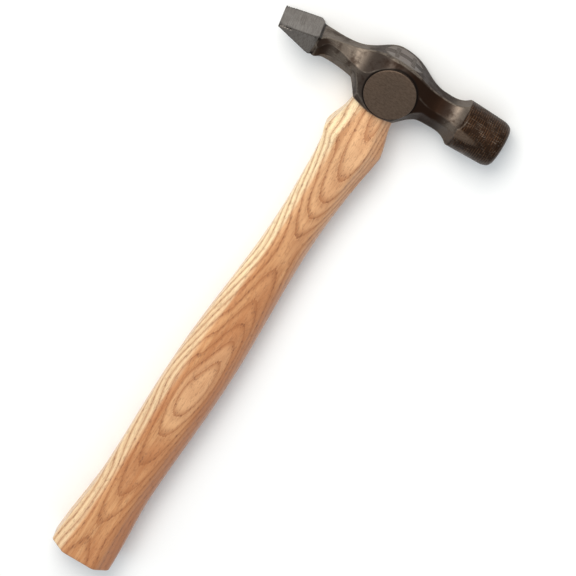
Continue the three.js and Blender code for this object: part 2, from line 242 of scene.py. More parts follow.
def makeHead(shape):
    sides = shape["sides"]
    turns = np.arange(sides) / sides * 2 * math.pi
    turns = turns - shape["cheekCrowding"] * np.sin(2 * turns)
    start, last = shape["pollStart"], faceX - shape["endInset"]
    body = np.arange(peenX + shape["endInset"], start, shape["step"])
    poll = np.linspace(start, last, int((last - start) / shape["pollStep"]))
    places = np.concatenate([body, poll])
    radius = aroundHead(shape, places, turns)
    x = places[:, None] + 0 * radius
    y, z = radius * np.sin(turns), radius * np.cos(turns)
    points = np.stack([x, y, z], -1).reshape(-1, 3)
    large, small = shape["lumpSizes"]
    uneven = lumps(points, large) + shape["smallLumps"] * lumps(points, small, 5.0)
    share = np.interp(x, shape["unevenPlaces"], shape["unevenShares"])
    amount = shape["forgingUnevenness"] * share
    shift = uneven.reshape(radius.shape) * amount - amount
    (begin, beginOver), (end, endOver) = shape["grooveStart"], shape["grooveEnd"]
    turned = np.clip((x - begin) / beginOver, 0, 1) * np.clip((faceX - end - x) / endOver, 0, 1)
    onBarrel = turned * (radius > sizeAlong(shape["pollLine"], places)[:, None] - 0.3)
    groove = 0.5 - 0.5 * np.cos(2 * math.pi * x / shape["groovePitch"])
    patchy = lumps(points * [3, 0.1, 0.1], 4.0, 3.0).reshape(radius.shape)  # runs round the poll
    depth = shape["grooveDepth"] * (0.75 + 0.6 * patchy)
    shift = shift - onBarrel * groove * np.maximum(depth, 0)
    long, wide = shape["nickWidth"]
    for place, turn in shape["nicks"]:
        for side in (0, math.pi):
            across = bell(turns[None, :] - abs(side - turn), wide)
            shift -= shape["nickDepth"] * bell(x - place, long) * across
    radius = radius + shift
    rings = np.stack([x, radius * np.sin(turns), radius * np.cos(turns)], -1)
    edge, face = rings[0], rings[-1]
    edgeCap = []
    for share, setBack, inset in shape["edgeCap"]:
        across = np.sign(edge) * [0, 0, 1] * np.maximum(np.abs(edge) - inset, 0)
        edgeCap.append(edge * [0, share, 0] + [peenX + setBack, 0, 0] + across)
    crown = faceX - face[0, 0]
    faceCap = [face * [0, share, share] + [faceX - crown * share ** 2, 0, 0]
               for share in shape["faceCap"]]
    return skin("forgedHead", [*edgeCap, *rings, *faceCap])


# The two ground discs on the cheeks, one short bar right through.
def makeBosses(shape):
    turns = np.linspace(0, 2 * math.pi, shape["bossSides"], endpoint=False)
    radius, edge = shape["bossRadius"], shape["bossEdge"]
    bend = np.linspace(0, math.pi / 2, 5)
    rim = [(radius - edge + edge * math.sin(a), cheek - edge + edge * math.cos(a)) for a in bend]
    outline = [(2.0, cheek), (6.0, cheek), *rim]
    outline += [(size, -height) for size, height in reversed(outline)]
    middleX, middleY = shape["bossMiddle"]
    rings = []
    for size, height in outline:
        x, y = middleX + size * np.cos(turns), middleY + size * np.sin(turns)
        rings.append(np.stack([x, y, 0 * turns + height], -1))
    return skin("cheekBosses", rings)


underside = -12.8  # of the head, where the eye's lower mouth is
eyeShape = {
    "length": 15.2,
    "width": 10.4,
    "middle": -1,
    "growth": [(underside, 0.5, -0.06), (-2, 0, 0), (crownY, 0.95, 0.12)],  # more at both mouths
    "squareness": 2.3,
    "sides": 128,
    "cutterReach": 20,  # past the head both ways
}


# Distance from the middle of the eye to its wall, for each turn about Y
def eyeRadius(shape, y, turns, margin):
    more = sizeAlong(shape["growth"], y) + margin
    power = shape["squareness"]
    long, wide = shape["length"] / 2 + more, shape["width"] / 2 + more
    total = np.abs(np.cos(turns) / long) ** power + np.abs(np.sin(turns) / wide) ** power
    return total ** (-1 / power)


def makeEyeCutter(shape):
    turns = np.linspace(0, 2 * math.pi, shape["sides"], endpoint=False)
    reach, rings = shape["cutterReach"], []
    for y in (-reach, *np.linspace(underside, crownY, 18), reach):
        radius = eyeRadius(shape, np.full(turns.shape, float(y)), turns, 0)
        x, z = shape["middle"] + radius * np.cos(turns), radius * np.sin(turns)
        rings.append(np.stack([x, 0 * turns + y, z], -1))
    return skin("eyeCutter", rings)


head = makeHead(forgedHead)
bosses, eyeCutter = makeBosses(forgedHead), makeEyeCutter(eyeShape)
workOn(head, bosses, "UNION")
workOn(head, eyeCutter, "DIFFERENCE")
for spare in (bosses, eyeCutter):
    bpy.data.objects.remove(spare)
smooth(head, 48)
keepValue(head, "ridge", ridgeOf(head))
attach(head, "root")
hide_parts("hammer_head")
print("head:", len(head.data.polygons), "faces")


ashHandle = {
    "widthLine": [
        (buttY, 13.8, -0.03), (-249, 13.4, -0.05), (-217, 11.5, 0), (-165, 12.5, 0),
        (-142, 12.2, -0.04), (-78, 9.35, 0), (-47, 10.6, 0.06), (-36, 11.8, 0.12),
        (-30, 13, 0.18, -0.12), (-23, 11.1, -0.33), (-15.5, 9.45, -0.12), (-11.1, 8.9, -0.1)],
    "thicknessLine": [
        (buttY, 10.2, 0), (-249, 10.1, -0.015), (-217, 9.2, 0), (-165, 9.9, 0), (-78, 7.6, 0),
        (-47, 8.3, 0.03), (-30, 9.1, 0.02), (-23, 8, -0.22), (-15.5, 6.7, -0.1),
        (-11.1, 6.5, -0.05)],
    "middleLine": [
        (buttY, 0, 0), (-36.5, 0, 0), (-30, -0.65, -0.05), (-23, -0.65, 0), (-11.1, -1, 0)],
    "bevelTurn": math.radians(48.6),  # of the four long bevels, up from X
    "bevelLine": [
        (buttY, 0.765, 0), (-217, 0.75, 0), (-165, 0.745, 0), (-83, 0.735, 0), (-30, 0.765, 0),
        (-11, 0.76, 0)],
    "edgeSoftness": [
        (buttY, 0.6, 0), (-217, 1.0, 0), (-165, 1.5, 0), (-83, 1.5, 0), (-30, 0.7, 0),
        (-11, 0.7, 0)],
    "softerFar": 0.9,                 # share added to the softness on the poll's side
    "softerUpTo": -50,                # and how far up the handle
    "farBevel": 0.02,                 # how much deeper the bevels are on the poll's side
    "sides": 144,
    "step": 0.95,
    "buttChamfer": 1.3,
    "buttCrown": 0.25,
    "buttShares": (0.12, 0.3, 0.5, 0.7, 0.86, 0.96),
    "shaftTop": -13.8,                # the last ring before the shoulder
    "tenonRings": (-11, 9, 12),       # from, to and how many
    "topShares": (1, 0.8, 0.55, 0.3, 0.1),
    "tenonGap": 0.06,
    "seatGap": 0.15,
    "topGap": 0.12,
}


def aroundHandle(shape, y, turns, trim=0.0):
    wide = sizeAlong(shape["widthLine"], y) - trim
    thick = sizeAlong(shape["thicknessLine"], y) - trim
    out, up = np.abs(np.cos(turns)), np.abs(np.sin(turns))
    farSide = np.clip(4 * np.cos(turns), 0, 1) * (y < shape["softerUpTo"])
    soft = sizeAlong(shape["edgeSoftness"], y) * (1 + shape["softerFar"] * farSide)
    tilt = shape["bevelTurn"]
    deeper = shape["farBevel"] * (np.cos(turns) > 0) * np.abs(np.cos(turns))
    share = sizeAlong(shape["bevelLine"], y) - deeper
    bevel = share * (wide * math.cos(tilt) + thick * math.sin(tilt))
    radius = softMin(wide / np.maximum(out, 1e-3), thick / np.maximum(up, 1e-3), soft)
    return softMin(radius, bevel / (out * math.cos(tilt) + up * math.sin(tilt)), soft)


def makeHandle(shape, eye):
    turns = np.linspace(0, 2 * math.pi, shape["sides"], endpoint=False)
    cosine, sine = np.cos(turns), np.sin(turns)

    def ring(y, radius, middle):
        return np.stack([middle + radius * cosine, np.zeros(turns.shape) + y, radius * sine], -1)

    def flat(y):
        return np.full(turns.shape, float(y))

    chamfer = shape["buttChamfer"]
    rings = []
    for share in shape["buttShares"]:
        radius = share * aroundHandle(shape, flat(buttY), turns, chamfer)
        rings.append(ring(buttY + shape["buttCrown"] * share ** 3, radius, 0))
    for turn in np.linspace(0, math.pi / 2, 6):
        y = buttY + shape["buttCrown"] + chamfer * (1 - math.cos(turn)) * 0.9
        radius = aroundHandle(shape, flat(y), turns, chamfer * (1 - math.sin(turn)))
        rings.append(ring(y, radius, 0))
    start, top = rings[-1][0, 1] + 0.6, shape["shaftTop"]
    for y in np.linspace(start, top, int((top - start) / shape["step"])):
        middle = sizeAlong(shape["middleLine"], [y])[0]
        rings.append(ring(y, aroundHandle(shape, flat(y), turns), middle))

    # The end rings follow the head's outline, under it and over it
    def scribed(step, line, side, gap):
        step[:, 1] = side * sizeAlong(forgedHead[line], step[:, 0]) - gap
        return step

    def inEye(y, share=1.0):
        return ring(y, share * eyeRadius(eye, flat(y), turns, -shape["tenonGap"]), eye["middle"])

    shoulder = ring(0, aroundHandle(shape, flat(-12.9), turns), eye["middle"])
    rings.append(scribed(shoulder, "bottomLine", -1, shape["seatGap"]))
    rings.append(scribed(inEye(underside), "bottomLine", -1, shape["seatGap"]))
    rings += [inEye(y) for y in np.linspace(*shape["tenonRings"])]
    for share in shape["topShares"]:
        rings.append(scribed(inEye(crownY, share), "topLine", 1, shape["topGap"]))
    return skin("ashHandle", rings)


# Where the year rings run: a higher number is a later ring. They lie nearly level in the billet,
# dip and rise along it, and curve over from side to side.
growthRings = {
    "thickness": 3.0,
    "curve": 1 / 30,
    "bend": 7,            # beyond this far across, the rings run on nearly straight
    "topCount": [
        (-260, 1.8, 0), (-242, 1.4, 0), (-221, 2, 0.045), (-203, 3, 0.06), (-185, 4, 0.06),
        (-160, 5.5, 0), (-133, 4, -0.065), (-105, 2, -0.06), (-86, 1.1, 0), (-67, 2, 0.08),
        (-46, 4, 0.09), (-28, 5.4, 0.03), (12, 4.4, 0)],
    "heart": [(-260, -1, 0), (-185, 0.3, 0), (-133, 2.6, 0), (-60, 2.4, 0), (12, 1.5, 0)],
    "wander": 0.8,
}


def growthAt(rings, places):
    x, y, z = places.T
    count = sizeAlong(rings["topCount"], y)
    thick = sizeAlong(ashHandle["thicknessLine"], y)
    across = np.abs(x - sizeAlong(rings["heart"], y))
    bend = rings["bend"]
    fall = rings["curve"] * np.where(across < bend, across ** 2, bend ** 2 + 5 * (across - bend))
    slow = lumps(places * [0.35, 0.1, 0.35], 3.2, 2.0)
    return count + (z - thick) / rings["thickness"] - fall + rings["wander"] * slow


def wedgeNumbers(node, along):
    low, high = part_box(node)
    centre = (low + high) / 2 / mm
    size = (high - low) / mm
    return {"x": centre.x, "tipY": low.y / mm, "length": size.z if along == "z" else size.x}


steelWedge = {"top": 1.9, "tip": 0.7, "gap": 0.06, "edge": 0.15}
woodWedge = {"top": 3.4, "tip": 0.8, "gap": 0.15, "edge": 0.2}
wedgeSlack = 0.05    # left round each wedge
wedgeSides = 96
cutterTop = 16       # a slot's cutter runs up to here, clear of the head
kerfReach = 14       # and the kerf's this far each way along the eye


def wedgeRings(shape, numbers, margin, radiusOf, topY=None):
    turns = np.linspace(0, 2 * math.pi, wedgeSides, endpoint=False)
    heights = [numbers["tipY"] - margin, *np.linspace(numbers["tipY"] + 0.4, crownY - 3.2, 9)]
    rings = []
    for i, y in enumerate([*heights, None]):
        level = crownY - 0.3 if y is None else y
        share = (level - numbers["tipY"]) / (crownY - numbers["tipY"])
        half = (shape["tip"] + (shape["top"] - shape["tip"]) * share) / 2 + margin
        radius = radiusOf(half, level, turns)
        x, z = numbers["x"] + radius * np.cos(turns), radius * np.sin(turns)
        if y is None and topY is not None:
            height = 0 * x + topY
        else:
            height = sizeAlong(forgedHead["topLine"], x) - shape["gap"] if y is None else 0 * x + y
        rings.append(np.stack([x, height, z], -1))
    if topY is None:
        for inset in (0.7, 0.35):
            step = rings[-1].copy()
            centre = [numbers["x"], 0, 0]
            step = (step - centre) * [inset, 1, inset] + centre
            step[:, 1] = sizeAlong(forgedHead["topLine"], step[:, 0]) - shape["gap"]
            rings.append(step)
    return rings


def acrossEye(shape, numbers, margin):
    def radiusOf(half, _, turns):
        wall = (numbers["length"] / 2 + margin) / np.maximum(np.abs(np.sin(turns)), 1e-3)
        return softMin(half / np.maximum(np.abs(np.cos(turns)), 1e-3), wall, shape["edge"])
    return radiusOf


def alongEye(shape, reach=None):
    def radiusOf(half, level, turns):
        if reach is None:
            end = eyeRadius(eyeShape, np.full(turns.shape, float(level)), turns, -0.1)
        else:
            end = reach / np.maximum(np.abs(np.cos(turns)), 1e-3)
        return softMin(half / np.maximum(np.abs(np.sin(turns)), 1e-3), end, shape["edge"])
    return radiusOf


handle = makeHandle(ashHandle, eyeShape)
woodNumbers = wedgeNumbers("wood_wedge", "x")
woodNumbers["x"] = eyeShape["middle"]
wideOutline = alongEye(woodWedge, kerfReach)
kerf = skin("kerf", wedgeRings(woodWedge, woodNumbers, wedgeSlack, wideOutline, cutterTop))
wood = skin("woodWedge", wedgeRings(woodWedge, woodNumbers, 0, alongEye(woodWedge)))
workOn(handle, kerf, "DIFFERENCE")
bpy.data.objects.remove(kerf)
steelPieces = []
steelNames = {"steel_wedge_front": "steelWedgeFront", "steel_wedge_back": "steelWedgeBack"}
for node, name in steelNames.items():
    numbers = wedgeNumbers(node, "z")
    outline = acrossEye(steelWedge, numbers, wedgeSlack)
    slot = skin("slot", wedgeRings(steelWedge, numbers, wedgeSlack, outline, cutterTop))
    workOn(handle, slot, "DIFFERENCE")
    workOn(wood, slot, "DIFFERENCE")
    bpy.data.objects.remove(slot)
    outline = acrossEye(steelWedge, numbers, 0)
    piece = skin(name, wedgeRings(steelWedge, numbers, 0, outline))
    smooth(piece, 40)
    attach(piece, "root")
    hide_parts(node)
    steelPieces.append(piece)
smooth(handle, 40)
smooth(wood, 40)
keepValue(handle, "growth", growthAt(growthRings, placesOf(handle)))
handlePlaces = placesOf(handle)
halfWidths = sizeAlong(ashHandle["widthLine"], handlePlaces[:, 1])
keepValue(handle, "side", handlePlaces[:, 0] / halfWidths)
for piece, node, slotName in ((handle, "handle", "ash_wood"), (wood, "wood_wedge", "wedge_wood")):
    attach(piece, "root")
    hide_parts(node)
print("handle:", len(handle.data.polygons), "faces; wedges:", 1 + len(steelPieces))


# From screen levels, 0 to 255, to the light values that a shader takes
def paint(red, green, blue):
    levels = (red, green, blue)
    return tuple(((c / 255 + 0.055) / 1.055) ** 2.4 if c > 10 else c / 255 / 12.92
                 for c in levels) + (1.0,)


def startMaterial(name):
    material = bpy.data.materials.new(name)
    material.use_nodes = True
    tree = material.node_tree
    tree.nodes.clear()
    shader = tree.nodes.new("ShaderNodeBsdfPrincipled")
    output = tree.nodes.new("ShaderNodeOutputMaterial")
    tree.links.new(shader.outputs[0], output.inputs["Surface"])
    return material, tree, shader


def plug(tree, socket, value):
    if isinstance(value, bpy.types.NodeSocket):
        tree.links.new(value, socket)
    else:
        socket.default_value = value


def calc(tree, operation, *values, clamp=False):
    step = tree.nodes.new("ShaderNodeMath")
    step.operation, step.use_clamp = operation, clamp
    for socket, value in zip(step.inputs, values):
        plug(tree, socket, value)
    return step.outputs[0]


def rise(tree, value, low, high, first=0.0, last=1.0):
    step = tree.nodes.new("ShaderNodeMapRange")
    step.interpolation_type = "SMOOTHSTEP"
    numbers = {"Value": value, "From Min": low, "From Max": high, "To Min": first, "To Max": last}
    for name, number in numbers.items():
        plug(tree, step.inputs[name], number)
    return step.outputs[0]


def mixColour(tree, share, first, second, mode="MIX"):
    step = tree.nodes.new("ShaderNodeMix")
    step.data_type, step.blend_type = "RGBA", mode
    for index, value in ((0, share), (6, first), (7, second)):
        plug(tree, step.inputs[index], value)
    return step.outputs[2]


def positionIn(tree):
    where = tree.nodes.new("ShaderNodeTexCoord")
    scaled = tree.nodes.new("ShaderNodeVectorMath")
    scaled.operation = "MULTIPLY_ADD"
    plug(tree, scaled.inputs[0], where.outputs["Object"])
    scaled.inputs[1].default_value = (1 / mm,) * 3
    scaled.inputs[2].default_value = (0, 0, -midZ / mm)
    split = tree.nodes.new("ShaderNodeSeparateXYZ")
    plug(tree, split.inputs[0], scaled.outputs[0])
    return scaled.outputs[0], split.outputs[0], split.outputs[1], split.outputs[2]


# Fractal noise whose grains are about the given millimetres long each way
def grainOf(tree, place, size, detail=3.0, roughness=0.5):
    scaled = tree.nodes.new("ShaderNodeVectorMath")
    scaled.operation = "MULTIPLY"
    plug(tree, scaled.inputs[0], place)
    scaled.inputs[1].default_value = tuple(1 / s for s in size)
    step = tree.nodes.new("ShaderNodeTexNoise")
    plug(tree, step.inputs["Vector"], scaled.outputs[0])
    for name, number in (("Scale", 1.0), ("Detail", detail), ("Roughness", roughness)):
        step.inputs[name].default_value = number
    return step.outputs[0]


def stored(tree, name):
    step = tree.nodes.new("ShaderNodeAttribute")
    step.attribute_name = name
    return step.outputs["Fac"]


def relief(tree, shader, height, strength, distance):
    step = tree.nodes.new("ShaderNodeBump")
    step.inputs["Strength"].default_value = strength
    step.inputs["Distance"].default_value = distance * mm
    plug(tree, step.inputs["Height"], height)
    plug(tree, shader.inputs["Normal"], step.outputs[0])


steelFinish = {
    "scale": paint(64, 55, 49),       # forge scale round the eye
    "rubbed": paint(98, 88, 79),     # where it is rubbed thin on the necks
    "burntAndShade": paint(37, 20, 9),       # brown, where the scale is thick; also laid on as painted shade in the hollows, creases and on the peen's sides
    # painted shade for the disc's seam and the peen's step, also the peen's darkened edges
    "creviceShade": paint(20, 14, 10),
    "ground": paint(122, 117, 112),   # belt-ground peen
    "disc": paint(101, 84, 71),
    "turnedDark": paint(37, 22, 12),
    "turnedLight": paint(82, 57, 38),
    # bare steel worn on ridges and in scratches, also the painted highlight along the edges
    "wornAndHighlight": paint(140, 130, 118),
    "metal": 0.8,
    "roughness": (0.38, 0.6),
    # Grains: size each way, how fine and how rough
    "cloud": ((7, 7, 7), 4, 0.6),
    "pits": ((0.55, 0.55, 0.55), 4, 0.65),
    "crossLines": ((0.22, 1.5, 9), 3, 0.6),  # ground across the peen
    "turnedLines": ((0.3, 30, 30), 3, 0.65),
    "discLines": ((1.3, 0.8, 1.3), 4, 0.65),
    "wobble": ((5, 5, 5), 2, 0.5),
    "breaks": ((1.6, 2.6, 2.6), 3, 0.6),     # where a turned crest fades
    "scratches": ((5, 0.3, 0.3), 3, 0.6),    # along the necks
    # Where a finish comes in or goes out: along the head, or out from its middle for discFace
    "peenEnd": (-35.2, -34.6),
    "peenNeck": (-17, -12),
    "pollNeck": (23, 28),
    "pollStart": (30.6, 31.4),
    "discFace": (9.95, 10.2),
    "hollowStart": (2, 11),
    "hollowEnd": (20, 28),
    "stepStart": (-35.25, -35.0),
    "stepEnd": (-34.3, -33.7),
}


def makeSteel(look):
    material, tree, shader = startMaterial("forgedSteel")
    place, x, y, z = positionIn(tree)
    ridge = stored(tree, "ridge")
    cloud = grainOf(tree, place, *look["cloud"])
    pits = grainOf(tree, place, *look["pits"])
    crossLines = grainOf(tree, place, *look["crossLines"])
    turnedLines = grainOf(tree, place, *look["turnedLines"])
    discLines = grainOf(tree, place, *look["discLines"])
    outward = calc(tree, "ABSOLUTE", z)
    ragged = calc(tree, "ADD", x, calc(tree, "MULTIPLY", cloud, 0.5))
    onPeen = rise(tree, ragged, *look["peenEnd"], 1, 0)
    onPoll = rise(tree, x, *look["pollStart"])
    onDisc = rise(tree, outward, *look["discFace"])
    # Painted shade and brown reflection in the hollow between the disc and the poll, over the
    # random patches of thick scale
    sloped = calc(tree, "ADD", x, calc(tree, "MULTIPLY", y, 0.5))
    hollowShade = calc(tree, "MULTIPLY", rise(tree, sloped, *look["hollowStart"]),
                  rise(tree, x, *look["hollowEnd"], 1, 0))
    burntAndShade = calc(tree, "MAXIMUM", calc(tree, "MULTIPLY", hollowShade, 0.96),
                 rise(tree, cloud, 0.48, 0.68, 0, 0.7))
    # Painted shade on the peen neck's cheek slopes, which face away from the key lamp
    neck = calc(tree, "MULTIPLY", rise(tree, x, -35, -34), rise(tree, x, -30, -24, 1, 0))
    cheekSlopeShade = calc(tree, "MULTIPLY", neck, rise(tree, outward, 4.2, 6, 0, 0.85))
    burntAndShade = calc(tree, "MAXIMUM", burntAndShade, cheekSlopeShade)
    onNecks = calc(tree, "MAXIMUM", rise(tree, x, *look["peenNeck"], 1, 0),
                   calc(tree, "MULTIPLY", rise(tree, x, *look["pollNeck"]), 0.9))
    colour = mixColour(tree, onNecks, look["scale"], look["rubbed"])
    colour = mixColour(tree, burntAndShade, colour, look["burntAndShade"])
    wobble = calc(tree, "MULTIPLY", grainOf(tree, place, *look["wobble"]), 1.1)
    turning = calc(tree, "ADD", x, wobble)
    turning = calc(tree, "MULTIPLY", turning, 2 * math.pi / forgedHead["groovePitch"])
    crest = calc(tree, "MULTIPLY", rise(tree, calc(tree, "COSINE", turning), -0.1, 0.9),
                 rise(tree, grainOf(tree, place, *look["breaks"]), 0.4, 0.58, 0.1, 1))
    bright = calc(tree, "ADD", calc(tree, "MULTIPLY", crest, 0.85),
                  rise(tree, turnedLines, 0.5, 0.75, 0, 0.3), clamp=True)
    turnedPoll = mixColour(tree, bright, look["turnedDark"], look["turnedLight"])
    colour = mixColour(tree, onPoll, colour, turnedPoll)
    scratches = grainOf(tree, place, *look["scratches"])
    scratched = calc(tree, "MULTIPLY", onNecks, rise(tree, scratches, 0.56, 0.68, 0, 0.4))
    scratched = calc(tree, "MULTIPLY", scratched, rise(tree, burntAndShade, 0.9, 0.4))
    colour = mixColour(tree, scratched, colour, look["wornAndHighlight"])
    dimDisc = mixColour(tree, 0.3, look["disc"], look["burntAndShade"])
    disc = mixColour(tree, rise(tree, discLines, 0.35, 0.65), dimDisc, look["disc"])
    colour = mixColour(tree, onDisc, colour, disc)
    dimGround = mixColour(tree, 0.4, look["ground"], look["burntAndShade"])
    ground = mixColour(tree, rise(tree, crossLines, 0.32, 0.66), dimGround, look["ground"])
    # Painted shade: the peen's side faces, towards the cheeks, are a little darker than its top
    ground = mixColour(tree, rise(tree, outward, 9.2, 9.8, 0, 0.13), ground, look["burntAndShade"])
    colour = mixColour(tree, onPeen, colour, ground)
    # Ridges of worn bare steel, lightened far enough to stand as a painted highlight along the
    # edges
    wornAndHighlight = calc(tree, "MULTIPLY", rise(tree, ridge, 0.012, 0.06),
                rise(tree, pits, 0.3, 0.6, 0.3, 1.0))
    wornAndHighlight = calc(tree, "MULTIPLY", wornAndHighlight, rise(tree, cloud, 0.42, 0.56, 0.2, 1.0))    # in broken runs
    dressed = calc(tree, "MAXIMUM", onDisc, calc(tree, "MULTIPLY", onPoll, 0.6))
    dressed = calc(tree, "MAXIMUM", onPeen, dressed)
    keeps = calc(tree, "SUBTRACT", 0.55, calc(tree, "MULTIPLY", dressed, 0.55))
    wornAndHighlight = calc(tree, "MULTIPLY", wornAndHighlight, keeps)
    colour = mixColour(tree, wornAndHighlight, colour, look["wornAndHighlight"])
    # Painted shade: creases where the surface dips are darkened
    groove = calc(tree, "MULTIPLY", rise(tree, ridge, -0.03, -0.16), 0.6)
    colour = mixColour(tree, groove, colour, look["burntAndShade"])
    colour = mixColour(tree, rise(tree, pits, 0.56, 0.74, 0, 0.45), colour, look["burntAndShade"])

    # Painted shade in the seam round the disc and behind the peen's step; the peen's two long edges
    # are darkened as well
    middleX, middleY = forgedHead["bossMiddle"]
    fromMiddle = [calc(tree, "SUBTRACT", a, b) for a, b in ((x, middleX), (y, middleY))]
    squares = [calc(tree, "MULTIPLY", way, way) for way in fromMiddle]
    fromAxis = calc(tree, "SQRT", calc(tree, "ADD", *squares))
    pastDisc = calc(tree, "SUBTRACT", fromAxis, forgedHead["bossRadius"])
    seam = calc(tree, "MULTIPLY", rise(tree, pastDisc, -0.05, 0.1),
                rise(tree, pastDisc, 0.35, 1.0, 1, 0))
    seam = calc(tree, "MULTIPLY", seam, rise(tree, outward, 4, 6))
    behindPeen = calc(tree, "MULTIPLY", rise(tree, x, *look["stepStart"]),
                      rise(tree, x, *look["stepEnd"], 1, 0))
    offMiddle = rise(tree, calc(tree, "ABSOLUTE", y), 2.0, 3.0)
    behindPeen = calc(tree, "MULTIPLY", behindPeen, offMiddle)
    peenEdge = calc(tree, "MULTIPLY", onPeen, rise(tree, ridge, 0.04, 0.14, 0, 0.6))
    darkAndShade = calc(tree, "MAXIMUM", calc(tree, "MAXIMUM", seam, behindPeen), peenEdge)
    colour = mixColour(tree, calc(tree, "MULTIPLY", darkAndShade, 0.9), colour, look["creviceShade"])
    plug(tree, shader.inputs["Base Color"], colour)
    shader.inputs["Metallic"].default_value = look["metal"]
    shader.inputs["Specular IOR Level"].default_value = 0.25
    low, high = look["roughness"]
    rough = calc(tree, "ADD", cloud, calc(tree, "MULTIPLY", pits, 0.4))
    plug(tree, shader.inputs["Roughness"], rise(tree, rough, 0.5, 0.9, low, high))
    height = calc(tree, "ADD", calc(tree, "MULTIPLY", pits, 0.6),
                  calc(tree, "MULTIPLY", cloud, 0.8))
    marked = ((onPeen, crossLines, 0.7), (onPoll, turnedLines, 1.1), (onDisc, discLines, 0.35))
    for mask, lines, amount in marked:
        marks = calc(tree, "MULTIPLY", calc(tree, "MULTIPLY", mask, lines), amount)
        height = calc(tree, "ADD", height, marks)
    relief(tree, shader, height, 0.5, 0.07)
    return material


ashFinish = {
    "late": paint(193, 133, 84),
    "pale": paint(212, 158, 108),
    "crown": paint(233, 187, 141),    # where the latest rings come up to the face
    "sapAndSheen": paint(242, 221, 178),      # the pale sapwood strip down the peen's side, with painted sheen in it
    "shade": paint(176, 110, 64),     # and the painted shade down the opposite side
    "early": paint(154, 92, 48),
    "pore": paint(112, 64, 34),
    "endGrain": paint(150, 98, 60),
    "eyeDirt": paint(67, 58, 52),
    # painted shade on the dark wood end in the eye, towards the poll
    "eyeShade": paint(34, 26, 21),
    "roughness": (0.3, 0.46),
    # Grains: size each way, how fine and how rough
    "fibre": ((0.22, 9, 0.22), 3, 0.6),
    "streak": ((1.6, 60, 1.6), 3, 0.55),
    "fleck": ((0.6, 2.4, 0.6), 3, 0.65),
    "tone": ((13, 42, 13), 2, 0.5),
    # The sapwood strip with its painted sheen, and the painted shade strip, down the two sides:
    # where they begin across the handle, then from, to and how strongly along it
    "sapEdge": (-0.52, -0.72),
    "sapAlong": (-130, -95, 0.6, 0.85),
    "shadeEdge": (0.35, 0.8),
    "shadeAlong": (-180, -80, 0.85, 0.05),
}


